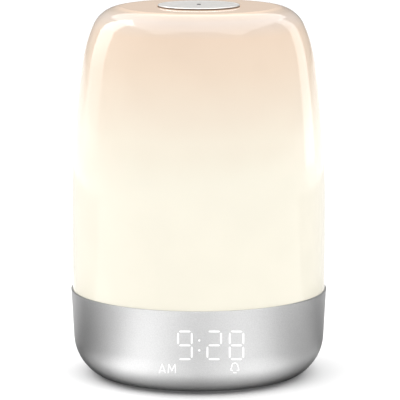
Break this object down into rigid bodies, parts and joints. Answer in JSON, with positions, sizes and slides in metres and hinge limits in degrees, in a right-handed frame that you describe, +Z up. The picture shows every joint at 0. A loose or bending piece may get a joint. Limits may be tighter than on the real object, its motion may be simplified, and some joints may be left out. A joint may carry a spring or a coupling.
{
  "type": "sunrise alarm clock",
  "caption": "Bedside wake-up light: a silver round base with a lit time display behind its front wall, under a tall glowing opal dome with a round press plate on top.",
  "frame": {"origin": "on the table, under the middle of the base, at the bottom of the rubber feet", "axes": "+Z up through the dome, -Y out of the front with the time display, +Y out of the back with the keys"},
  "size_m": [0.11, 0.11, 0.1592],
  "materials": {
    "silver_shell": "fine satin silver paint",
    "opal": "opal, glossy",
    "plate_metal": "satin",
    "white_plastic": "moulded",
    "black_plastic": "moulded",
    "red_plastic": "moulded",
    "circuit_board": "solder mask",
    "ribbon": "flat cable",
    "lamp": "lamp package",
    "capacitor": "sleeved can",
    "pin_brass": "plated",
    "display_grey": "moulded light block",
    "cover_grey": "fine texture",
    "foot_rubber": "matt",
    "speaker_metal": "pressed steel",
    "screw_steel": "zinc",
    "cell_metal": "polished",
    "spring_metal": "spring steel"
  },
  "bodies": {
    "clock": {"base_shell": "silver_shell", "diffuser_dome": "opal", "switch_cup": "white_plastic", "cable_tube": "white_plastic", "reflector": "white_plastic", "mid_frame": "white_plastic", "top_switch": "black_plastic", "controller_chip": "black_plastic", "power_socket": "black_plastic", "display_header": "black_plastic", "key_switches": "black_plastic", "speaker_cone": "black_plastic", "cell_holder": "black_plastic", "switch_board": "circuit_board", "light_board": "circuit_board", "main_board": "circuit_board", "display_board": "circuit_board", "key_board": "circuit_board", "switch_ribbon": "ribbon", "warm_lamps": "lamp", "colour_lamps": "lamp", "display_lamps": "lamp", "board_capacitors": "capacitor", "socket_pin": "pin_brass", "display_block": "display_grey", "bottom_cover": "cover_grey", "rubber_feet": "foot_rubber", "speaker_gasket": "foot_rubber", "speaker_basket": "speaker_metal", "speaker_magnet": "speaker_metal", "speaker_screws": "screw_steel", "cover_screws": "screw_steel", "board_screws": "screw_steel", "light_screws": "screw_steel", "dome_screws": "screw_steel", "cup_screws": "screw_steel", "backup_cell": "cell_metal", "cell_spring": "spring_metal", "cell_clip": "spring_metal"},
    "top_button": {"button_plate": "plate_metal", "button_carrier": "white_plastic", "top_switch_plunger": "red_plastic"},
    "cell_hatch": {"cell_door": "cover_grey"},
    "key_set": {"set_key": "silver_shell", "set_plunger": "black_plastic"},
    "key_down": {"down_key": "silver_shell", "down_plunger": "black_plastic"},
    "key_alarm": {"alarm_key": "silver_shell", "alarm_plunger": "black_plastic"},
    "key_up": {"up_key": "silver_shell", "up_plunger": "black_plastic"},
    "key_sound": {"sound_key": "silver_shell", "sound_plunger": "black_plastic"}
  },
  "joints": [
    {"name": "top_press", "type": "slide", "parent": "clock", "child": "top_button", "axis": [0, 0, -1], "range_m": [0, 0.0007], "stiffness_N_per_m": 600, "springref_m": -0.0006},
    {"name": "set_press", "type": "slide", "parent": "clock", "child": "key_set", "axis": [0, -1, 0], "range_m": [0, 0.0006], "stiffness_N_per_m": 400, "springref_m": -0.0005},
    {"name": "down_press", "type": "slide", "parent": "clock", "child": "key_down", "axis": [0, -1, 0], "range_m": [0, 0.0006], "stiffness_N_per_m": 400, "springref_m": -0.0005},
    {"name": "alarm_press", "type": "slide", "parent": "clock", "child": "key_alarm", "axis": [0, -1, 0], "range_m": [0, 0.0006], "stiffness_N_per_m": 400, "springref_m": -0.0005},
    {"name": "up_press", "type": "slide", "parent": "clock", "child": "key_up", "axis": [0, -1, 0], "range_m": [0, 0.0006], "stiffness_N_per_m": 400, "springref_m": -0.0005},
    {"name": "sound_press", "type": "slide", "parent": "clock", "child": "key_sound", "axis": [0, -1, 0], "range_m": [0, 0.0006], "stiffness_N_per_m": 400, "springref_m": -0.0005},
    {"name": "hatch_turn", "type": "hinge", "parent": "clock", "child": "cell_hatch", "pos_m": [0.0195, 0, 0.0019], "axis": [0, 0, -1], "range_deg": [0, 40]}
  ]
}
